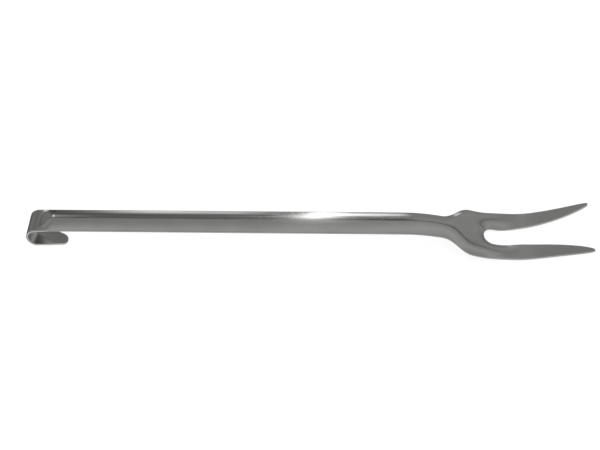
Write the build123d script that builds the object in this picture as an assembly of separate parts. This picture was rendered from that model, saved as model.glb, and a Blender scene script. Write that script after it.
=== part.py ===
from build123d import *
import os
from math import atan2, cos, degrees, hypot, sin, sqrt

# Long-handled two-tine kitchen fork, pressed from one strip of stainless steel sheet.
# The strip is arched along the handle, bent back at one end into a hanging hook, and
# dropped, spread and split at the other end into a palm and two upswept tines.
# Each node is one stretch of that strip, and neighbours meet face to face.
# Millimetres.  The shape is worked out with the crown of the handle along X at height 0
# and the hook's bend starting at X = 0, and is then laid down on its hook and belly.

# ---- strip -------------------------------------------------------------------------
GAUGE = 1.5                  # sheet thickness
HALF_WIDTH = 9.05            # half the width of the handle and of the hook's bend
ARCH_HEIGHT = 2.6            # crown of the handle above its edges
ARCH_ROUNDING = 5.0          # how softly the two flanks of the handle meet at the crown

# ---- hanging hook ------------------------------------------------------------------
BEND_RADIUS = 5.8            # inside radius of the bend
BEND_ANGLE = 162.0           # how far the strip is turned back
TONGUE_LENGTH = 18.9         # from the end of the bend to the rounded tip
TONGUE_TIP_RADIUS = 4.3      # the tongue narrows to this full-round tip
ARCH_FADE = 11.0             # length over which the flat hook becomes the arched handle

# ---- stretches along the strip ------------------------------------------------------
HANDLE_LENGTH = 227.2        # from the bend to where the neck starts to drop
NECK_LENGTH = 25.2           # from there to the first widening of the shoulders
SHOULDER_LENGTH = 20.6       # over which the shoulders widen
PALM_LENGTH = 12.9           # from the shoulders to the centre of the crotch
TINE_LENGTH = 59.3           # from the centre of the crotch to the tips

# ---- palm ----------------------------------------------------------------------------
PALM_DROP = 15.0             # how far the strip would drop below the crown of the handle
BELLY_REACH = 28.5           # the drop would end this far past the centre of the crotch
BAND_WIDTH = 4.5             # rolled-down band round the palm and the crotch
BAND_SLOPE = 0.62            # its fall across its width
BAND_ROUNDING = 2.0          # how softly the band leaves the flat panel

# ---- tines -----------------------------------------------------------------------------
TINE_ROOT_CENTRE = 12.4      # half the distance between the tines' middles at the root
TINE_ROOT_WIDTH = 13.0       # width of one tine at the root
TINE_SPLAY = 6.6             # how far each tine's middle moves outwards by its tip
SPLAY_POWER = 2.5            # above 1: straight at the root, then curving outwards
TAPER_POWER = 1.5            # above 1: full at the root, then narrowing to a round point
TINE_RISE = 11.2             # how far the sweep lifts the tips out of that drop
RISE_START = 2.8             # the sweep starts this far past the centre of the crotch
RISE_KNEE = 2.0              # above 0: how early the sweep turns into a straight ramp
TINE_CAMBER = 0.01           # fall of a tine's edges once its bands have flattened out
OUTER_FLATTEN = 12.0         # the outside band flattens out this far past the crotch
INNER_FLATTEN = 20.0         # and the band round the crotch this far

# ---- how finely the pressed surface is drawn --------------------------------------------
STEP_ALONG = 1.6             # spacing of the surface's points along the strip
POINTS_ACROSS = 29           # points from one edge of a stretch to the other
FIT_TOLERANCE = 0.004        # largest distance from those points to the surface
MARGIN = 1.2                 # how far the surface runs past the cut outline, twice below
CROTCH_SOFTNESS = 1.5        # rounds the surface over the middle of the crotch hole
REACH = 40.0                 # taller than the fork, for the upright blanks
PROBE = 0.05                 # slopes are measured this far either side of a point

# ---- stations worked out from the sizes -------------------------------------------------
NECK_X = HANDLE_LENGTH
SHOULDER_X = NECK_X + NECK_LENGTH
PALM_X = SHOULDER_X + SHOULDER_LENGTH
ROOT_X = PALM_X + PALM_LENGTH
TIP_X = ROOT_X + TINE_LENGTH
BELLY_X = ROOT_X + BELLY_REACH
PANEL_X = SHOULDER_X + SHOULDER_LENGTH / 2
RISE_X = ROOT_X + RISE_START
PALM_HALF_WIDTH = TINE_ROOT_CENTRE + TINE_ROOT_WIDTH / 2
CROTCH_RADIUS = TINE_ROOT_CENTRE - TINE_ROOT_WIDTH / 2
OUTER_RADIUS = BEND_RADIUS + GAUGE
HANDLE_SLOPE = ARCH_HEIGHT / (hypot(HALF_WIDTH, ARCH_ROUNDING) - ARCH_ROUNDING)


def ease(t):
    """Go from 0 to 1 with no corner and no change of curvature at either end."""
    t = min(max(t, 0.0), 1.0)
    return t**3 * (10 - 15 * t + 6 * t * t)


def mix(a, b, share):
    return a + (b - a) * share


def tine_middle(x):
    q = min(max((x - ROOT_X) / TINE_LENGTH, 0.0), 1.0)
    return TINE_ROOT_CENTRE + TINE_SPLAY * q**SPLAY_POWER


def tine_half_width(x):
    q = min(max((x - ROOT_X) / TINE_LENGTH, 0.0), 1.0)
    return TINE_ROOT_WIDTH / 2 * sqrt(1 - q**TAPER_POWER)


def shoulder_half_width(x):
    return mix(HALF_WIDTH, PALM_HALF_WIDTH, ease((x - SHOULDER_X) / SHOULDER_LENGTH))


def outer_half_width(x):
    """From the middle of the fork to its outside edge."""
    if x < ROOT_X:
        return shoulder_half_width(x)
    return tine_middle(x) + tine_half_width(x)


def crotch_half_width(x):
    """From the middle of the fork to the inside edge of a tine."""
    return tine_middle(x) - tine_half_width(x)


def spine_height(x):
    """Height of the middle of the strip, or of the middle of a tine."""
    flat_part = 1 - ease(x / ARCH_FADE)
    dropped = ease((x - NECK_X) / (BELLY_X - NECK_X))
    q = max((x - RISE_X) / (TIP_X - RISE_X), 0.0)
    rise = (hypot(1, RISE_KNEE * q) - 1) / (hypot(1, RISE_KNEE) - 1)
    return -ARCH_HEIGHT * flat_part - PALM_DROP * dropped + TINE_RISE * rise


def flank(distance, width, slope, rounding):
    """Fall of a band of this width at a distance from the edge it rolls down to."""
    inside = width - distance
    return slope / 2 * (inside + hypot(inside, rounding))


def height(x, y):
    """Top surface of the whole pressing past the hook's bend."""
    spread = ease((x - NECK_X) / (PALM_X - NECK_X))
    width = mix(HALF_WIDTH, BAND_WIDTH, spread)
    rounding = mix(ARCH_ROUNDING, BAND_ROUNDING, spread)
    outer_end = ease((x - PALM_X) / (ROOT_X + OUTER_FLATTEN - PALM_X))
    inner_end = ease((x - ROOT_X) / INNER_FLATTEN)
    outer_slope = mix(HANDLE_SLOPE * ease(x / ARCH_FADE), BAND_SLOPE, spread)
    outer_slope = mix(outer_slope, TINE_CAMBER, outer_end)
    inner_slope = mix(BAND_SLOPE, TINE_CAMBER, inner_end)
    lean = (shoulder_half_width(x + PROBE) - shoulder_half_width(x - PROBE)) / (2 * PROBE)
    outer = outer_half_width(x)

    def outer_flanks(side):
        left = flank((outer - side) / hypot(1, lean), width, outer_slope, rounding)
        return left + flank((outer + side) / hypot(1, lean), width, outer_slope, rounding)

    to_crotch = hypot(min(x - ROOT_X, 0), y, CROTCH_SOFTNESS) - crotch_half_width(x)
    at_crotch = flank(to_crotch, width, inner_slope, rounding) if x > SHOULDER_X else 0
    return spine_height(x) - outer_flanks(y) - at_crotch + outer_flanks(0)


def pressed_face(start, end, low, high, depth):
    """Face lying this depth square below the top surface, over one rectangle."""
    along = round((end - start) / STEP_ALONG)
    columns = [start + (end - start) * i / along for i in range(along + 1)]
    rows = [low + (high - low) * j / (POINTS_ACROSS - 1) for j in range(POINTS_ACROSS)]
    points = []
    for x in columns:
        points.append([])
        for y in rows:
            tilt_x = (height(x + PROBE, y) - height(x - PROBE, y)) / (2 * PROBE)
            tilt_y = (height(x, y + PROBE) - height(x, y - PROBE)) / (2 * PROBE)
            down = Vector(tilt_x, tilt_y, -1).normalized() * depth
            points[-1].append(Vector(x, y, height(x, y)) + down)
    return Face.make_surface_from_array_of_points(points, FIT_TOLERANCE)


def pressed_sheet(blank, start, end, low, high):
    """The part of an upright blank that lies in the sheet over one rectangle."""
    edge, wide = MARGIN, 2 * MARGIN
    top = pressed_face(start - edge, end + edge, low - edge, high + edge, 0)
    bottom = pressed_face(start - wide, end + wide, low - wide, high + wide, GAUGE)
    under = Solid.extrude(top, Vector(0, 0, -REACH))
    over = Solid.extrude(bottom, Vector(0, 0, REACH))
    return blank & under & over


def handle_stretch(blank, start, end):
    """One full-width stretch of the strip between two stations."""
    half = max(outer_half_width(start), outer_half_width(end))
    return pressed_sheet(blank, start, end, -half, half)


def upright(outline):
    """Upright block with this outline seen from above, taller than the fork."""
    face = Face(Wire(outline))
    return Solid.extrude(face, Vector(0, 0, 2 * REACH)).moved(Location((0, 0, -REACH)))


def straight_blank(start, end):
    middle = Location(((start + end) / 2, 0, 0))
    return Box(end - start, 2 * HALF_WIDTH, 2 * REACH).moved(middle)


def shoulder_blank(start, end):
    """Upright blank of the neck and palm, with both shoulders curving out."""
    count = round((end - start) / STEP_ALONG)
    stations = [start + (end - start) * i / count for i in range(count + 1)]
    left = [Vector(x, outer_half_width(x), 0) for x in stations]
    right = [Vector(v.X, -v.Y, 0) for v in reversed(left)]
    sides = [Spline(*left), Spline(*right)]
    ends = [Line(left[-1], right[0]), Line(right[-1], left[0])]
    return upright([sides[0], ends[0], sides[1], ends[1]])


def tine_blank():
    """Upright blank of the left tine: a horn with a full-round point."""
    count = round(TINE_LENGTH / (2 * STEP_ALONG))
    shares = [1 - (1 - i / count) ** 2 for i in range(count + 1)]
    stations = [ROOT_X + TINE_LENGTH * share for share in shares]
    outside = [Vector(x, outer_half_width(x), 0) for x in stations]
    inside = [Vector(x, crotch_half_width(x), 0) for x in stations[:-1]]
    horn = Spline(*outside, *reversed(inside), tangents=[(1, 0, 0), (-1, 0, 0)])
    return upright([horn, Line(inside[0], outside[0])])


def hook_bend():
    """The strip turned back round the hanging rod."""
    turn = Rot(Y=-BEND_ANGLE)
    ring = Cylinder(OUTER_RADIUS, 2 * HALF_WIDTH) - Cylinder(BEND_RADIUS, 2 * HALF_WIDTH)
    ring = Rot(X=90) * ring
    half_space = Pos(X=REACH / 2) * Box(REACH, 2 * HALF_WIDTH, REACH)
    away = turn * (Pos(X=-REACH / 2) * Box(REACH, 2 * HALF_WIDTH, REACH))
    bend = ring - half_space - away
    return Pos(Z=-ARCH_HEIGHT - OUTER_RADIUS) * bend


def hook_tongue():
    """The tapering tongue that the bend turns back under the handle."""
    straight = TONGUE_LENGTH - TONGUE_TIP_RADIUS
    lean = atan2(HALF_WIDTH - TONGUE_TIP_RADIUS, straight)
    touch_x = straight + TONGUE_TIP_RADIUS * sin(lean)
    touch_y = TONGUE_TIP_RADIUS * cos(lean)
    left, right = Vector(0, HALF_WIDTH, 0), Vector(0, -HALF_WIDTH, 0)
    left_touch, right_touch = Vector(touch_x, touch_y, 0), Vector(touch_x, -touch_y, 0)
    tip = ThreePointArc(left_touch, Vector(TONGUE_LENGTH, 0, 0), right_touch)
    outline = [Line(left, left_touch), tip, Line(right_touch, right), Line(right, left)]
    plate = Solid.extrude(Face(Wire(outline)), Vector(0, 0, GAUGE))
    lowered = Pos(Z=-OUTER_RADIUS) * plate
    turned = Rot(Y=180 - BEND_ANGLE) * lowered
    return Pos(Z=-ARCH_HEIGHT - OUTER_RADIUS) * turned


def lay_down(pieces):
    """Stand the fork on its tongue and belly, at height 0 and centred along X."""
    tongue = hook_tongue().bounding_box()
    belly = pieces["left_tine"].bounding_box()
    tilt = degrees(atan2(belly.min.Z - tongue.min.Z, RISE_X - tongue.max.X))
    laid = {name: Rot(Y=tilt) * piece for name, piece in pieces.items()}
    boxes = [piece.bounding_box() for piece in laid.values()]
    low = min(box.min.Z for box in boxes)
    middle = (min(box.min.X for box in boxes) + max(box.max.X for box in boxes)) / 2
    return {name: Pos(-middle, 0, -low) * piece for name, piece in laid.items()}


hook_end = handle_stretch(straight_blank(0, ARCH_FADE), 0, ARCH_FADE)
handle = handle_stretch(straight_blank(ARCH_FADE, NECK_X), ARCH_FADE, NECK_X)
neck = handle_stretch(shoulder_blank(NECK_X, PANEL_X), NECK_X, PANEL_X)
crotch = Pos(X=ROOT_X) * Cylinder(CROTCH_RADIUS, 2 * REACH)
palm = handle_stretch(shoulder_blank(PANEL_X, ROOT_X) - crotch, PANEL_X, ROOT_X)
tine_reach = outer_half_width(TIP_X) + MARGIN
left_tine = pressed_sheet(tine_blank(), ROOT_X, TIP_X, CROTCH_RADIUS, tine_reach)

fork = {
    "hanging_hook": hook_bend() + hook_tongue() + hook_end,
    "handle": handle,
    "neck": neck,
    "palm": palm,
    "left_tine": left_tine,
    "right_tine": mirror(left_tine, Plane.XZ),
}

os.makedirs("parts", exist_ok=True)
for name, piece in lay_down(fork).items():
    export_step(piece, f"parts/{name}.step")
    box = piece.bounding_box()
    print(f"{name}: {box.size.X:.2f} x {box.size.Y:.2f} x {box.size.Z:.2f} mm")
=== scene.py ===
"""Long-handled two-tine kitchen fork, pressed from one strip of stainless steel sheet.

The strip is drawn as one half sheet, pressed to its relief, turned back into the hanging
hook, mirrored, given its gauge and rounded at its cut edges.  It is then laid down as it
rests, and cut into the six stretches that the frame names.  Metres throughout.
"""

import logging
from collections.abc import Callable
from dataclasses import dataclass, field
from enum import Enum
from math import atan2, cos, hypot, pi, radians, sin, sqrt

import bmesh
import bpy
from mathutils import Matrix, Vector


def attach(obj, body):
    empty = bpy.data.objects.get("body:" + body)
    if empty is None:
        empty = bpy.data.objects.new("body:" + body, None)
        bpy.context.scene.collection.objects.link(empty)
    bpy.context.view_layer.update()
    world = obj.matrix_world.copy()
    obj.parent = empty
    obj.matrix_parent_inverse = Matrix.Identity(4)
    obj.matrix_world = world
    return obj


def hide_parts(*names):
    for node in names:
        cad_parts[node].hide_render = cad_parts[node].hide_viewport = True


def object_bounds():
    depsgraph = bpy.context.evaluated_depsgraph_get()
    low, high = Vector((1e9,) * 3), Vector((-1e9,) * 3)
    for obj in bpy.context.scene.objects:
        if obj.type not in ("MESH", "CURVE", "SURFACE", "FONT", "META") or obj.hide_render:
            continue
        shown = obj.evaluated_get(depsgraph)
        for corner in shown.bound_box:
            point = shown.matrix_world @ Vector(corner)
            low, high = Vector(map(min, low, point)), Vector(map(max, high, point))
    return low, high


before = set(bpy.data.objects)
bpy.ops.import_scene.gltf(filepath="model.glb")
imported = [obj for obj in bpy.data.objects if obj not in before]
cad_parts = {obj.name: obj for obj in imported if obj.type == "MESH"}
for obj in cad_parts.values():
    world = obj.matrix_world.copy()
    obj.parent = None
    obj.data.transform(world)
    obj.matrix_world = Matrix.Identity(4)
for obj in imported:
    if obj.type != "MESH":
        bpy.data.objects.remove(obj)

logging.basicConfig(level=logging.INFO, format="%(message)s")
LOG = logging.getLogger("fork")

MM = 0.001
CAD_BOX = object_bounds()


class Stretch(Enum):
    """The six stretches of the pressing, by the names that the frame gives them."""

    HOOK = "hanging_hook"
    HANDLE = "handle"
    NECK = "neck"
    PALM = "palm"
    LEFT_TINE = "left_tine"
    RIGHT_TINE = "right_tine"


def ease(t: float) -> float:
    """Go from 0 to 1 with no corner and no change of curvature at either end.

    Args:
        t: Progress, held between 0 and 1.

    Returns:
        The eased progress.
    """
    t = min(max(t, 0.0), 1.0)
    return t**3 * (10 - 15 * t + 6 * t * t)


def mix(a: float, b: float, share: float) -> float:
    """Return the value that lies this share of the way from a to b."""
    return a + (b - a) * share


def spaced(start: float, end: float, step: float) -> list[float]:
    """Divide a length evenly.

    Args:
        start: First station, which the result holds.
        end: Last station, which the result leaves out.
        step: Largest distance between two stations.

    Returns:
        The stations from start to just before end.
    """
    count = max(round((end - start) / step), 1)
    return [mix(start, end, i / count) for i in range(count)]


@dataclass
class Strip:
    """Sizes of the sheet and of its arched section."""

    gauge: float = 1.5 * MM
    half_width: float = 9.05 * MM
    arch_height: float = 2.6 * MM
    arch_rounding: float = 5.0 * MM

    @property
    def handle_slope(self) -> float:
        """Fall of the handle's flanks at their steepest."""
        rise = hypot(self.half_width, self.arch_rounding) - self.arch_rounding
        return self.arch_height / rise


@dataclass
class Hook:
    """Sizes of the hanging hook."""

    bend_radius: float = 5.8 * MM
    bend_angle: float = 162.0
    tongue_length: float = 18.9 * MM
    tip_radius: float = 4.3 * MM
    arch_fade: float = 11.0 * MM


@dataclass
class Stations:
    """Places along the strip, from the start of the hook's bend."""

    neck: float = 227.2 * MM
    shoulder: float = 252.4 * MM
    palm: float = 273.0 * MM
    root: float = 285.9 * MM
    tip: float = 345.2 * MM

    @property
    def panel(self) -> float:
        """Where the palm is parted from the neck."""
        return (self.shoulder + self.palm) / 2


@dataclass
class Palm:
    """Sizes of the dropped palm and of the band rolled down round it."""

    drop: float = 15.0 * MM
    belly_reach: float = 28.5 * MM
    band_width: float = 4.5 * MM
    band_slope: float = 0.62
    band_rounding: float = 2.0 * MM
    crotch_softness: float = 1.5 * MM


@dataclass
class Tine:
    """Sizes of one tine."""

    root_centre: float = 12.4 * MM
    root_width: float = 13.0 * MM
    splay: float = 6.6 * MM
    splay_power: float = 2.5
    taper_power: float = 1.5
    rise: float = 11.2 * MM
    rise_start: float = 2.8 * MM
    rise_knee: float = 2.0
    camber: float = 0.01
    outer_flatten: float = 12.0 * MM
    inner_flatten: float = 20.0 * MM


@dataclass
class Relief:
    """The pressed shape of the strip: its outline seen from above, and its height."""

    strip: Strip = field(default_factory=Strip)
    hook: Hook = field(default_factory=Hook)
    at: Stations = field(default_factory=Stations)
    palm: Palm = field(default_factory=Palm)
    tine: Tine = field(default_factory=Tine)
    probe: float = 0.05 * MM

    def along_tine(self, x: float) -> float:
        """Return the share of the tine's length that lies behind this station."""
        return min(max((x - self.at.root) / (self.at.tip - self.at.root), 0.0), 1.0)

    def tine_middle(self, x: float) -> float:
        """Return how far the middle of a tine stands from the middle of the fork."""
        q = self.along_tine(x)
        return self.tine.root_centre + self.tine.splay * q**self.tine.splay_power

    def tine_half_width(self, x: float) -> float:
        """Return half the width of a tine."""
        q = self.along_tine(x)
        return self.tine.root_width / 2 * sqrt(1 - q**self.tine.taper_power)

    def shoulder_half_width(self, x: float) -> float:
        """Return half the width of the strip where its shoulders spread."""
        palm_half_width = self.tine.root_centre + self.tine.root_width / 2
        spread = ease((x - self.at.shoulder) / (self.at.palm - self.at.shoulder))
        return mix(self.strip.half_width, palm_half_width, spread)

    def outer(self, x: float) -> float:
        """Return the distance from the middle of the fork to its outside edge."""
        if x < self.at.root:
            return self.shoulder_half_width(x)
        return self.tine_middle(x) + self.tine_half_width(x)

    def inner(self, x: float) -> float:
        """Return the distance from the middle of the fork to a tine's inside edge."""
        return self.tine_middle(x) - self.tine_half_width(x)

    def spine(self, x: float) -> float:
        """Return the height of the middle of the strip, or of a tine's middle."""
        flat_part = 1 - ease(x / self.hook.arch_fade)
        belly = self.at.root + self.palm.belly_reach
        dropped = ease((x - self.at.neck) / (belly - self.at.neck))
        rise_from = self.at.root + self.tine.rise_start
        knee = self.tine.rise_knee
        q = max((x - rise_from) / (self.at.tip - rise_from), 0.0)
        risen = (hypot(1, knee * q) - 1) / (hypot(1, knee) - 1)
        level = -self.strip.arch_height * flat_part - self.palm.drop * dropped
        return level + self.tine.rise * risen

    def height(self, x: float, y: float) -> float:
        """Return the height of the top surface past the hook's bend.

        Args:
            x: Station along the strip.
            y: Distance from the middle of the fork.

        Returns:
            The height above the crown of the handle.
        """
        strip, palm, tine, at = self.strip, self.palm, self.tine, self.at
        spread = ease((x - at.neck) / (at.palm - at.neck))
        width = mix(strip.half_width, palm.band_width, spread)
        rounding = mix(strip.arch_rounding, palm.band_rounding, spread)
        outer_end = ease((x - at.palm) / (at.root + tine.outer_flatten - at.palm))
        inner_end = ease((x - at.root) / tine.inner_flatten)
        arch = strip.handle_slope * ease(x / self.hook.arch_fade)
        outer_slope = mix(mix(arch, palm.band_slope, spread), tine.camber, outer_end)
        inner_slope = mix(palm.band_slope, tine.camber, inner_end)
        ahead = self.shoulder_half_width(x + self.probe)
        behind = self.shoulder_half_width(x - self.probe)
        lean = hypot(1, (ahead - behind) / (2 * self.probe))
        outer = self.outer(x)

        def flank(distance: float, slope: float) -> float:
            """Return the fall at a distance from the edge that a band rolls down to."""
            inside = width - distance
            return slope / 2 * (inside + hypot(inside, rounding))

        def outer_flanks(side: float) -> float:
            """Return the fall that both outside bands give at this side distance."""
            left = flank((outer - side) / lean, outer_slope)
            return left + flank((outer + side) / lean, outer_slope)

        to_crotch = hypot(min(x - at.root, 0), y, palm.crotch_softness) - self.inner(x)
        at_crotch = flank(to_crotch, inner_slope) if x > at.shoulder else 0
        return self.spine(x) - outer_flanks(y) - at_crotch + outer_flanks(0)


@dataclass(frozen=True)
class PolishedSteel:
    """Stainless steel polished along the strip, with the fine marks of use.

    The polish lines, the handling scratches and the cloudy wiping marks are all in the
    piece's own object coordinates, so that they stay with it.  The tines are left with a
    satin face, which fades in from the palm.
    """

    colour: tuple[float, float, float] = (0.60, 0.60, 0.585)
    dull_colour: tuple[float, float, float] = (0.50, 0.50, 0.485)
    gloss_roughness: float = 0.05
    worn_roughness: float = 0.12
    satin_roughness: float = 0.24
    satin_start: float = 104.0 * MM
    satin_end: float = 130.0 * MM
    wear_from: float = 0.35
    wear_to: float = 0.75
    cloud_scale: tuple[float, float, float] = (28, 70, 70)
    line_scale: tuple[float, float, float] = (60, 5200, 5200)
    scratch_scale: tuple[float, float, float] = (55, 620, 620)
    scratch_turn: float = radians(9)
    scratch_width: float = 0.03
    line_depth: float = 0.012 * MM
    scratch_depth: float = 0.02 * MM
    bump_strength: float = 0.25

    def material(self) -> bpy.types.Material:
        """Build the node material.

        Returns:
            The finished material.
        """
        made = bpy.data.materials.new("polished_steel")
        made.use_nodes = True
        tree = made.node_tree
        shader = tree.nodes["Principled BSDF"]
        shader.inputs["Metallic"].default_value = 1.0
        coordinates = tree.nodes.new("ShaderNodeTexCoord")

        clouds = self.noise(tree, coordinates, scale=self.cloud_scale, detail=4.0)
        lines = self.noise(tree, coordinates, scale=self.line_scale, detail=3.0)
        scratches = self.scratches(tree, coordinates)

        wear = tree.nodes.new("ShaderNodeMapRange")
        wear.inputs["From Min"].default_value = self.wear_from
        wear.inputs["From Max"].default_value = self.wear_to
        tree.links.new(clouds, wear.inputs["Value"])

        tint = tree.nodes.new("ShaderNodeMix")
        tint.data_type = "RGBA"
        tint.inputs[6].default_value = (*self.colour, 1)
        tint.inputs[7].default_value = (*self.dull_colour, 1)
        tree.links.new(wear.outputs["Result"], tint.inputs[0])
        tree.links.new(tint.outputs[2], shader.inputs["Base Color"])

        gloss = tree.nodes.new("ShaderNodeMapRange")
        gloss.inputs["To Min"].default_value = self.gloss_roughness
        gloss.inputs["To Max"].default_value = self.worn_roughness
        tree.links.new(wear.outputs["Result"], gloss.inputs["Value"])

        place = tree.nodes.new("ShaderNodeSeparateXYZ")
        tree.links.new(coordinates.outputs["Object"], place.inputs["Vector"])
        satin = tree.nodes.new("ShaderNodeMapRange")
        satin.interpolation_type = "SMOOTHSTEP"
        satin.inputs["From Min"].default_value = self.satin_start
        satin.inputs["From Max"].default_value = self.satin_end
        satin.inputs["To Min"].default_value = 0.0
        satin.inputs["To Max"].default_value = self.satin_roughness
        tree.links.new(place.outputs["X"], satin.inputs["Value"])
        roughness = tree.nodes.new("ShaderNodeMath")
        roughness.operation = "ADD"
        tree.links.new(gloss.outputs["Result"], roughness.inputs[0])
        tree.links.new(satin.outputs["Result"], roughness.inputs[1])
        tree.links.new(roughness.outputs["Value"], shader.inputs["Roughness"])

        polish = tree.nodes.new("ShaderNodeBump")
        polish.inputs["Distance"].default_value = self.line_depth
        polish.inputs["Strength"].default_value = self.bump_strength
        tree.links.new(lines, polish.inputs["Height"])
        marks = tree.nodes.new("ShaderNodeBump")
        marks.inputs["Distance"].default_value = self.scratch_depth
        marks.inputs["Strength"].default_value = self.bump_strength
        marks.invert = True
        tree.links.new(scratches, marks.inputs["Height"])
        tree.links.new(polish.outputs["Normal"], marks.inputs["Normal"])
        tree.links.new(marks.outputs["Normal"], shader.inputs["Normal"])
        return made

    @staticmethod
    def noise(
        tree: bpy.types.NodeTree,
        coordinates: bpy.types.Node,
        scale: tuple[float, float, float],
        detail: float,
    ) -> bpy.types.NodeSocket:
        """Add a noise texture on the piece's own coordinates.

        Args:
            tree: Node tree to add to.
            coordinates: Texture coordinate node to read.
            scale: Cycles of the noise in each metre along X, Y and Z.
            detail: Octaves of finer noise.

        Returns:
            The noise's value socket.
        """
        mapping = tree.nodes.new("ShaderNodeMapping")
        mapping.inputs["Scale"].default_value = scale
        texture = tree.nodes.new("ShaderNodeTexNoise")
        texture.inputs["Scale"].default_value = 1.0
        texture.inputs["Detail"].default_value = detail
        tree.links.new(coordinates.outputs["Object"], mapping.inputs["Vector"])
        tree.links.new(mapping.outputs["Vector"], texture.inputs["Vector"])
        return texture.outputs["Fac"]

    def scratches(
        self, tree: bpy.types.NodeTree, coordinates: bpy.types.Node
    ) -> bpy.types.NodeSocket:
        """Add hair-fine handling scratches that run a little across the polish.

        Args:
            tree: Node tree to add to.
            coordinates: Texture coordinate node to read.

        Returns:
            A socket that is 1 in a scratch and 0 elsewhere.
        """
        mapping = tree.nodes.new("ShaderNodeMapping")
        mapping.inputs["Scale"].default_value = self.scratch_scale
        mapping.inputs["Rotation"].default_value = (0, 0, self.scratch_turn)
        cells = tree.nodes.new("ShaderNodeTexVoronoi")
        cells.feature = "DISTANCE_TO_EDGE"
        cells.inputs["Scale"].default_value = 1.0
        hair = tree.nodes.new("ShaderNodeMapRange")
        hair.inputs["From Min"].default_value = 0.0
        hair.inputs["From Max"].default_value = self.scratch_width
        hair.inputs["To Min"].default_value = 1.0
        hair.inputs["To Max"].default_value = 0.0
        tree.links.new(coordinates.outputs["Object"], mapping.inputs["Vector"])
        tree.links.new(mapping.outputs["Vector"], cells.inputs["Vector"])
        tree.links.new(cells.outputs["Distance"], hair.inputs["Value"])
        return hair.outputs["Result"]


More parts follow.
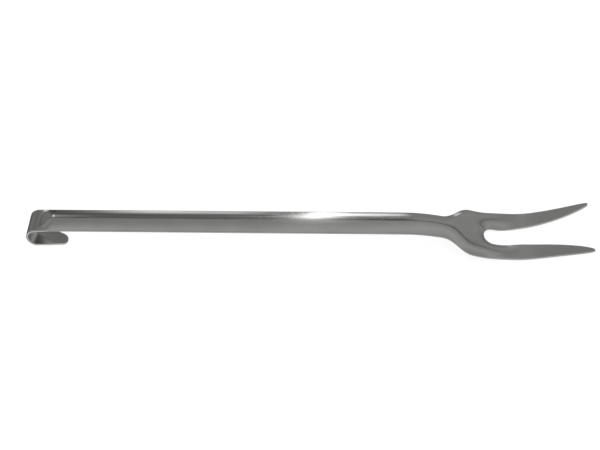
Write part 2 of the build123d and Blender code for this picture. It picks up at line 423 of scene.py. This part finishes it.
@dataclass
class Pressing:
    """The whole fork as one mesh, and its six stretches."""

    relief: Relief = field(default_factory=Relief)
    finish: PolishedSteel = field(default_factory=PolishedSteel)
    columns: int = 22
    hook_row: float = 1.0 * MM
    fade_row: float = 1.4 * MM
    handle_row: float = 3.5 * MM
    neck_row: float = 1.3 * MM
    tongue_row: float = 1.2 * MM
    fan_rows: int = 28
    crotch_rows: int = 16
    tine_rows: int = 56
    opening_rows: int = 12
    tip_turns: int = 14
    last_turn: float = radians(86)
    edge_column: float = 1.5 * MM
    edge_share: float = 0.2
    edge_percent: float = 25.0
    edge_segments: int = 2
    fan_start: float = 246.0 * MM
    fan_lag: float = 14.0 * MM
    fan_lead: float = 2.0 * MM
    tip_share: float = 0.93
    bend_steps: int = 36
    clear_share: float = 2 / 3
    weld: float = 0.001 * MM
    lay_tilt: float = radians(1.112)
    body: bpy.types.Object | None = None

    # ---- the half sheet ---------------------------------------------------------------

    def rows(self) -> list[tuple[Vector, Vector]]:
        """Lay out the rows of the half sheet, from the hook's bend to the tine's tip.

        Returns:
            The inside and the outside end of each row, seen from above.
        """
        relief, at = self.relief, self.relief.at
        radius = relief.inner(at.root)
        vertex = at.root - radius
        fade = relief.hook.arch_fade
        straight = spaced(0, fade, self.hook_row)
        straight += spaced(fade, 2 * fade, self.fade_row)
        straight += spaced(2 * fade, at.neck, self.handle_row)
        straight += spaced(at.neck, self.fan_start, self.neck_row)
        pairs = [(Vector((x, 0)), Vector((x, relief.outer(x)))) for x in straight]

        fan_end = vertex - self.fan_lag
        for share in spaced(0, 1, 1 / self.fan_rows):
            x = mix(self.fan_start, vertex, share)
            far = mix(self.fan_start, fan_end, share)
            pairs.append((Vector((x, 0)), Vector((far, relief.outer(far)))))

        for share in spaced(0, 1, 1 / self.crotch_rows):
            turn = share * pi / 2
            near = Vector((at.root - radius * cos(turn), radius * sin(turn)))
            far = mix(fan_end, at.root + self.fan_lead, share)
            pairs.append((near, Vector((far, relief.outer(far)))))

        length = at.tip - at.root
        for i in range(self.tine_rows + 1):
            share = 1 - (1 - self.tip_share * i / self.tine_rows) ** 2
            x = at.root + length * share
            far = x + self.fan_lead * (1 - share)
            pairs.append((Vector((x, relief.inner(x))), Vector((far, relief.outer(far)))))
        return pairs

    def column_shares(self, width: float, cut: float) -> list[float]:
        """Spread the columns over one row, with a wide one along each cut edge.

        Args:
            width: Length of the row.
            cut: 1 where the inside end of the row is a cut edge, 0 where it is the axis.

        Returns:
            The share of the row at each column line.
        """
        edge = min(self.edge_column / width, self.edge_share)
        first = mix(1 / self.columns, edge, cut)
        between = self.columns - 2
        middle = [mix(first, 1 - edge, j / between) for j in range(between + 1)]
        return [0.0, *middle, 1.0]

    def draw_blank(self) -> None:
        """Add the half sheet and press it to its outline and relief."""
        pairs = self.rows()
        bpy.ops.mesh.primitive_grid_add(
            x_subdivisions=len(pairs) - 1, y_subdivisions=self.columns, size=1.0
        )
        self.body = bpy.context.object
        self.body.name = "pressing"
        vertices = self.body.data.vertices
        order = sorted(range(len(vertices)), key=lambda i: (
            round(vertices[i].co.x * (len(pairs) - 1)), vertices[i].co.y))
        across = self.columns + 1
        vertex_row = next(i for i, (near, _) in enumerate(pairs) if near.y > 0) - 1
        for row, (near, far) in enumerate(pairs):
            cut = ease(1 - (vertex_row - row) / self.opening_rows)
            shares = self.column_shares((far - near).length, cut)
            for column, share in enumerate(shares):
                point = near.lerp(far, share)
                height = self.relief.height(point.x, point.y)
                vertices[order[row * across + column]].co = (point.x, point.y, height)

    def turn_hook(self) -> None:
        """Spin the flat end of the half sheet round the bend and draw out the tongue."""
        strip, hook = self.relief.strip, self.relief.hook
        outer_radius = hook.bend_radius + strip.gauge
        self.pick(lambda v: abs(v.co.x) < self.relief.probe)
        bpy.ops.mesh.spin(
            steps=self.bend_steps,
            angle=radians(hook.bend_angle),
            center=(0, 0, -strip.arch_height - outer_radius),
            axis=(0, 1, 0),
        )
        away = radians(180 - hook.bend_angle)
        direction = Vector((cos(away), 0, -sin(away)))
        place, width = 0.0, strip.half_width
        for station, half_width in self.tongue_rows():
            bpy.ops.mesh.extrude_region_move(
                TRANSFORM_OT_translate={"value": direction * (station - place)}
            )
            bpy.ops.transform.resize(
                value=(1, half_width / width, 1), center_override=(0, 0, 0)
            )
            place, width = station, half_width
        bpy.ops.object.mode_set(mode="OBJECT")

    def tongue_rows(self) -> list[tuple[float, float]]:
        """Lay out the rows of the tongue.

        Returns:
            For each row, how far it is from the bend and half its width.
        """
        hook, half_width = self.relief.hook, self.relief.strip.half_width
        straight = hook.tongue_length - hook.tip_radius
        lean = atan2(half_width - hook.tip_radius, straight)
        touch = straight + hook.tip_radius * sin(lean)
        touch_width = hook.tip_radius * cos(lean)
        stations = spaced(0, touch, self.tongue_row)[1:]
        taper = [(s, mix(half_width, touch_width, s / touch)) for s in stations]
        tip = []
        for i in range(self.tip_turns + 1):
            turn = mix(lean, self.last_turn, i / self.tip_turns)
            tip.append((straight + hook.tip_radius * sin(turn), hook.tip_radius * cos(turn)))
        return taper + tip

    # ---- from the half sheet to the pressing ---------------------------------------------

    def pick(self, wanted: Callable[[bmesh.types.BMVert], bool]) -> None:
        """Go into edit mode and select the vertices that a test wants, and no others.

        Args:
            wanted: Test on a vertex.
        """
        bpy.context.view_layer.objects.active = self.body
        bpy.ops.object.mode_set(mode="EDIT")
        bpy.ops.mesh.select_mode(type="VERT")
        bpy.ops.mesh.select_all(action="DESELECT")
        mesh = bmesh.from_edit_mesh(self.body.data)
        for vertex in mesh.verts:
            vertex.select = wanted(vertex)
        mesh.select_flush_mode()
        bmesh.update_edit_mesh(self.body.data)

    def mirror(self) -> None:
        """Mirror the half sheet, close it along the axis and turn its faces up."""
        modifier = self.body.modifiers.new("other_half", "MIRROR")
        modifier.use_axis = (False, True, False)
        modifier.use_clip = True
        modifier.merge_threshold = self.weld
        bpy.ops.object.modifier_apply(modifier=modifier.name)
        bpy.ops.object.mode_set(mode="EDIT")
        bpy.ops.mesh.select_all(action="SELECT")
        bpy.ops.mesh.remove_doubles(threshold=self.weld)
        bpy.ops.mesh.normals_make_consistent(inside=False)
        mesh = bmesh.from_edit_mesh(self.body.data)
        mesh.faces.ensure_lookup_table()
        middle = Vector((self.relief.at.neck / 2, 0, 0))
        crown = min(mesh.faces, key=lambda f: (f.calc_center_median() - middle).length)
        if crown.normal.z < 0:
            bpy.ops.mesh.flip_normals()
        bpy.ops.object.mode_set(mode="OBJECT")

    def thicken(self) -> None:
        """Give the sheet its gauge, under its top surface."""
        modifier = self.body.modifiers.new("gauge", "SOLIDIFY")
        modifier.thickness = self.relief.strip.gauge
        modifier.offset = -1.0
        modifier.use_even_offset = True
        bpy.ops.object.modifier_apply(modifier=modifier.name)

    def round_edges(self) -> None:
        """Break the cut edges all round, as tumbling does, and smooth the whole."""
        half = len(self.body.data.vertices) // 2
        bpy.ops.object.mode_set(mode="EDIT")
        bpy.ops.mesh.select_mode(type="EDGE")
        bpy.ops.mesh.select_all(action="DESELECT")
        mesh = bmesh.from_edit_mesh(self.body.data)
        for face in mesh.faces:
            sides = {vertex.index < half for vertex in face.verts}
            if len(sides) < 2:
                continue
            for edge in face.edges:
                ends = {vertex.index < half for vertex in edge.verts}
                edge.select = edge.select or len(ends) == 1
        bmesh.update_edit_mesh(self.body.data)
        bpy.ops.mesh.bevel(
            offset_type="PERCENT",
            offset_pct=self.edge_percent,
            segments=self.edge_segments,
            profile=0.5,
            affect="EDGES",
        )
        bpy.ops.object.mode_set(mode="OBJECT")
        modifier = self.body.modifiers.new("smooth", "SUBSURF")
        modifier.levels = 1
        modifier.render_levels = 1
        bpy.ops.object.modifier_apply(modifier=modifier.name)
        bpy.ops.object.shade_smooth()

    # ---- its place, and its six stretches --------------------------------------------------

    def part(self) -> None:
        """Cut the pressing where one stretch meets the next, keeping it whole."""
        at, hook = self.relief.at, self.relief.hook
        under_hook = -(self.relief.strip.arch_height + hook.bend_radius) * self.clear_share
        for station in (hook.arch_fade, at.neck, at.panel, at.root):
            self.pick(lambda v: v.co.z > under_hook or v.co.x > at.neck / 2)
            bpy.ops.mesh.bisect(plane_co=(station, 0, 0), plane_no=(1, 0, 0))
            bpy.ops.object.mode_set(mode="OBJECT")

    def stretch_of(self, centre: Vector) -> Stretch:
        """Name the stretch that a face belongs to.

        Args:
            centre: Middle of the face, before the fork is laid down.

        Returns:
            The stretch.
        """
        at, hook = self.relief.at, self.relief.hook
        under = centre.z < -self.relief.strip.arch_height - 2 * self.relief.strip.gauge
        if centre.x < hook.arch_fade or (under and centre.x < at.neck / 2):
            return Stretch.HOOK
        if centre.x < at.neck:
            return Stretch.HANDLE
        if centre.x < at.panel:
            return Stretch.NECK
        if centre.x < at.root:
            return Stretch.PALM
        return Stretch.LEFT_TINE if centre.y > 0 else Stretch.RIGHT_TINE

    def laid_down(self) -> Matrix:
        """Work out how the fork is laid on its tongue and belly inside the frame's box.

        Returns:
            The turn and the move, as one matrix.
        """
        turn = Matrix.Rotation(self.lay_tilt, 4, "Y")
        points = [turn @ vertex.co for vertex in self.body.data.vertices]
        low_x = min(point.x for point in points)
        high_x = max(point.x for point in points)
        low_z = min(point.z for point in points)
        middle = (CAD_BOX[0][0] + CAD_BOX[1][0]) / 2
        move = Vector((middle - (low_x + high_x) / 2, 0, CAD_BOX[0][2] - low_z))
        return Matrix.Translation(move) @ turn

    def stretches(self) -> dict[Stretch, bpy.types.Object]:
        """Take each stretch off as its own closed piece, laid down in its place.

        Returns:
            The pieces by stretch.
        """
        place = self.laid_down()
        mesh = self.body.data
        owner = [self.stretch_of(polygon.center) for polygon in mesh.polygons]
        smooth = [place.to_3x3() @ vertex.normal for vertex in mesh.vertices]
        pieces = {}
        for stretch in Stretch:
            pieces[stretch] = self.take_off(stretch, owner, smooth, place)
        bpy.data.objects.remove(self.body)
        return pieces

    def take_off(
        self,
        stretch: Stretch,
        owner: list[Stretch],
        smooth: list[Vector],
        place: Matrix,
    ) -> bpy.types.Object:
        """Copy one stretch off the pressing and close its ends.

        Args:
            stretch: The stretch to copy.
            owner: The stretch of each face of the pressing.
            smooth: The direction of the whole pressing's surface at each vertex.
            place: Where the fork is laid down.

        Returns:
            The closed piece, whose ends are flat and whose surface runs on smoothly.
        """
        copy = self.body.copy()
        copy.data = self.body.data.copy()
        copy.name = copy.data.name = f"{stretch.value}_steel"
        bpy.context.collection.objects.link(copy)
        shape = bmesh.new()
        shape.from_mesh(copy.data)
        source = shape.verts.layers.int.new("source")
        for vertex in shape.verts:
            vertex[source] = vertex.index
        others = [face for face in shape.faces if owner[face.index] is not stretch]
        bmesh.ops.delete(shape, geom=others, context="FACES")
        rims = [edge for edge in shape.edges if edge.is_boundary]
        before = set(shape.faces)
        bmesh.ops.holes_fill(shape, edges=rims, sides=0)
        caps = [face for face in shape.faces if face not in before]
        caps = bmesh.ops.triangulate(shape, faces=caps)["faces"]
        shape.faces.index_update()
        flat = {face.index for face in caps}
        shape.transform(place)
        shape.normal_update()
        shape.to_mesh(copy.data)
        origin = [vertex[source] for vertex in shape.verts]
        shape.free()
        directions = []
        for polygon in copy.data.polygons:
            for corner in polygon.vertices:
                on_cap = polygon.index in flat
                directions.append(polygon.normal.copy() if on_cap else smooth[origin[corner]])
        copy.data.normals_split_custom_set(directions)
        copy.data.attributes.remove(copy.data.attributes["source"])
        return copy

    def build(self) -> None:
        """Make the whole fork, dress it and set it in the frame."""
        bpy.ops.object.select_all(action="DESELECT")
        self.draw_blank()
        self.turn_hook()
        self.mirror()
        self.thicken()
        self.round_edges()
        self.part()
        steel = self.finish.material()
        for stretch, piece in self.stretches().items():
            piece.data.materials.clear()
            piece.data.materials.append(steel)
            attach(piece, "root")
            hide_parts(stretch.value)
            LOG.info("%s: %d faces", piece.name, len(piece.data.polygons))


@dataclass(frozen=True)
class SoftPatch:
    """A soft patch of light in the surround, or a dark card where its brightness is negative.

    Its middle is given as the direction's share along X and the angle, in degrees, above
    the level ahead.
    """

    across: float
    angle: float
    across_spread: float
    angle_spread: float
    brightness: float

    def glow(
        self,
        tree: bpy.types.NodeTree,
        across: bpy.types.NodeSocket,
        angle: bpy.types.NodeSocket,
    ) -> bpy.types.NodeSocket:
        """Add the patch's nodes.

        Args:
            tree: Node tree to add to.
            across: Socket of the direction's share along X.
            angle: Socket of its angle above the level ahead, in radians.

        Returns:
            The brightness's socket.
        """
        squares = []
        for socket, middle, spread in (
            (across, self.across, self.across_spread),
            (angle, radians(self.angle), radians(self.angle_spread)),
        ):
            offset = Studio.math_node(tree, "SUBTRACT", socket, middle)
            offset = Studio.math_node(tree, "DIVIDE", offset, spread)
            squares.append(Studio.math_node(tree, "MULTIPLY", offset, offset))
        distance = Studio.math_node(tree, "ADD", *squares)
        falloff = Studio.math_node(tree, "MULTIPLY", distance, -1.0)
        shape = tree.nodes.new("ShaderNodeMath")
        shape.operation = "EXPONENT"
        tree.links.new(falloff, shape.inputs[0])
        return Studio.math_node(tree, "MULTIPLY", shape.outputs[0], self.brightness)


# Angle in degrees, level behind to ahead to behind again, and the brightness there.
LEFT_TONES = (
    (-180, 0.60), (-131, 0.75), (-90, 0.50), (-45, 0.12), (0, 0.085), (48.9, 0.085), (50.3, 0.25),
    (60, 0.27), (76, 0.285), (84, 0.31), (88, 0.35), (91, 0.41), (95, 0.50), (98, 0.50),
    (103, 0.37), (115, 0.34), (140, 0.50), (180, 0.60),
)
RIGHT_TONES = (
    (-180, 0.60), (-131, 0.75), (-90, 0.50), (-45, 0.14), (-5, 0.30), (30, 0.36), (43, 0.34),
    (46.2, 0.13), (48.4, 0.13), (51, 0.34), (60, 0.36), (80, 0.42), (90, 0.48), (98, 0.44),
    (108, 0.37), (120, 0.36), (140, 0.50), (180, 0.60),
)
PATCHES = (
    SoftPatch(across=-0.155, angle=4, across_spread=0.045, angle_spread=6, brightness=1.0),
    SoftPatch(across=-0.095, angle=4, across_spread=0.030, angle_spread=6, brightness=0.5),
    SoftPatch(across=-0.019, angle=18, across_spread=0.0145, angle_spread=23, brightness=2.8),
    SoftPatch(across=-0.005, angle=55, across_spread=0.020, angle_spread=22, brightness=0.30),
    SoftPatch(across=0.025, angle=9, across_spread=0.038, angle_spread=5, brightness=1.1),
    SoftPatch(across=0.000, angle=11, across_spread=0.020, angle_spread=6, brightness=0.8),
    SoftPatch(across=0.055, angle=39, across_spread=0.050, angle_spread=9, brightness=-0.14),
    SoftPatch(across=-0.52, angle=25, across_spread=0.11, angle_spread=32, brightness=0.13),
    SoftPatch(across=-0.85, angle=25, across_spread=0.28, angle_spread=45, brightness=0.20),
    SoftPatch(across=-0.31, angle=33, across_spread=0.060, angle_spread=10, brightness=1.3),
)


@dataclass
class Studio:
    """A white light table, a soft surround and the camera."""

    eye: Vector = field(default_factory=lambda: Vector((0.0372, -0.4853, 0.5651)))
    heading: float = -0.08474
    roll: float = -0.06782
    pitch: float = 0.84648
    focal_px: float = 1176.68
    image_width_px: float = 600.0
    sensor: float = 36.0
    floor_size: float = 12.0
    floor_glow: float = 0.74
    floor_grey: float = 0.9
    floor_roughness: float = 0.9
    left_reach: float = -0.27
    right_reach: float = 0.17

    def camera(self) -> None:
        """Add the camera and make it the scene's."""
        ahead = Vector((
            sin(self.heading) * cos(self.pitch),
            cos(self.heading) * cos(self.pitch),
            -sin(self.pitch),
        ))
        level = Vector((cos(self.heading), -sin(self.heading), 0))
        upright = level.cross(ahead)
        right = cos(self.roll) * level + sin(self.roll) * upright
        up = -sin(self.roll) * level + cos(self.roll) * upright
        lens = bpy.data.cameras.new("camera")
        lens.sensor_width = self.sensor
        lens.lens = self.focal_px * self.sensor / self.image_width_px
        lens.clip_start = 0.01
        holder = bpy.data.objects.new("camera", lens)
        turn = Matrix((right, up, -ahead)).transposed()
        holder.matrix_world = Matrix.Translation(self.eye) @ turn.to_4x4()
        bpy.context.collection.objects.link(holder)
        bpy.context.scene.camera = holder

    def floor(self) -> None:
        """Add the plain white light table that the fork lies on."""
        bpy.ops.mesh.primitive_plane_add(size=self.floor_size, location=(0, 0, 0))
        table = bpy.context.object
        table.name = "floor"
        white = bpy.data.materials.new("white_table")
        white.use_nodes = True
        shader = white.node_tree.nodes["Principled BSDF"]
        shader.inputs["Base Color"].default_value = (*[self.floor_grey] * 3, 1)
        shader.inputs["Roughness"].default_value = self.floor_roughness
        shader.inputs["Specular IOR Level"].default_value = 0.0
        shader.inputs["Emission Color"].default_value = (1, 1, 1, 1)
        shader.inputs["Emission Strength"].default_value = self.floor_glow
        table.data.materials.append(white)
        table.visible_glossy = False
        table.visible_shadow = False

    def surround(self) -> None:
        """Add the soft surround that the steel reflects, and a plain white backdrop."""
        world = bpy.data.worlds.new("studio")
        world.use_nodes = True
        bpy.context.scene.world = world
        tree = world.node_tree
        coordinates = tree.nodes.new("ShaderNodeTexCoord")
        split = tree.nodes.new("ShaderNodeSeparateXYZ")
        tree.links.new(coordinates.outputs["Generated"], split.inputs["Vector"])
        across = split.outputs["X"]
        angle = self.math_node(tree, "ARCTAN2", split.outputs["Z"], split.outputs["Y"])
        turn = self.math_node(tree, "DIVIDE", angle, 2 * pi)
        turn = self.math_node(tree, "ADD", turn, 0.5)

        left = self.ramp(tree, turn, LEFT_TONES)
        right = self.ramp(tree, turn, RIGHT_TONES)
        side = tree.nodes.new("ShaderNodeMapRange")
        side.inputs["From Min"].default_value = self.left_reach
        side.inputs["From Max"].default_value = self.right_reach
        tree.links.new(across, side.inputs["Value"])
        blend = tree.nodes.new("ShaderNodeMix")
        tree.links.new(side.outputs["Result"], blend.inputs[0])
        tree.links.new(left, blend.inputs[2])
        tree.links.new(right, blend.inputs[3])
        light = blend.outputs[0]
        for patch in PATCHES:
            light = self.math_node(tree, "ADD", light, patch.glow(tree, across, angle))

        seen = tree.nodes.new("ShaderNodeLightPath")
        plain = tree.nodes.new("ShaderNodeMix")
        plain.inputs[3].default_value = 1.0
        tree.links.new(seen.outputs["Is Camera Ray"], plain.inputs[0])
        tree.links.new(light, plain.inputs[2])
        tree.links.new(plain.outputs[0], tree.nodes["Background"].inputs["Color"])

    @staticmethod
    def math_node(
        tree: bpy.types.NodeTree,
        operation: str,
        first: bpy.types.NodeSocket,
        second: bpy.types.NodeSocket | float,
    ) -> bpy.types.NodeSocket:
        """Add one Math node.

        Args:
            tree: Node tree to add to.
            operation: The node's operation.
            first: Socket of the first value.
            second: Socket of the second value, or the value itself.

        Returns:
            The result's socket.
        """
        node = tree.nodes.new("ShaderNodeMath")
        node.operation = operation
        tree.links.new(first, node.inputs[0])
        if isinstance(second, bpy.types.NodeSocket):
            tree.links.new(second, node.inputs[1])
        else:
            node.inputs[1].default_value = second
        return node.outputs[0]

    @staticmethod
    def ramp(
        tree: bpy.types.NodeTree,
        turn: bpy.types.NodeSocket,
        tones: tuple[tuple[float, float], ...],
    ) -> bpy.types.NodeSocket:
        """Add the greys of the surround as they go once round the X axis.

        Args:
            tree: Node tree to add to.
            turn: Share of the way round, from behind and level, down, ahead and up.
            tones: Angle above the level ahead, in degrees, and brightness of each stop.

        Returns:
            The grey's socket.
        """
        node = tree.nodes.new("ShaderNodeValToRGB")
        elements = node.color_ramp.elements
        elements.remove(elements[-1])
        for index, (angle, grey) in enumerate(tones):
            position = (angle + 180) / 360
            stop = elements[0] if index == 0 else elements.new(position)
            stop.position = position
            stop.color = (grey, grey, grey, 1)
        tree.links.new(turn, node.inputs["Fac"])
        return node.outputs["Color"]

    def build(self) -> None:
        """Set up the whole studio."""
        bpy.context.scene.view_settings.view_transform = "Standard"
        self.camera()
        self.floor()
        self.surround()


def main() -> None:
    """Build the studio and the fork."""
    Studio().build()
    Pressing().build()


if __name__ == "__main__":
    main()
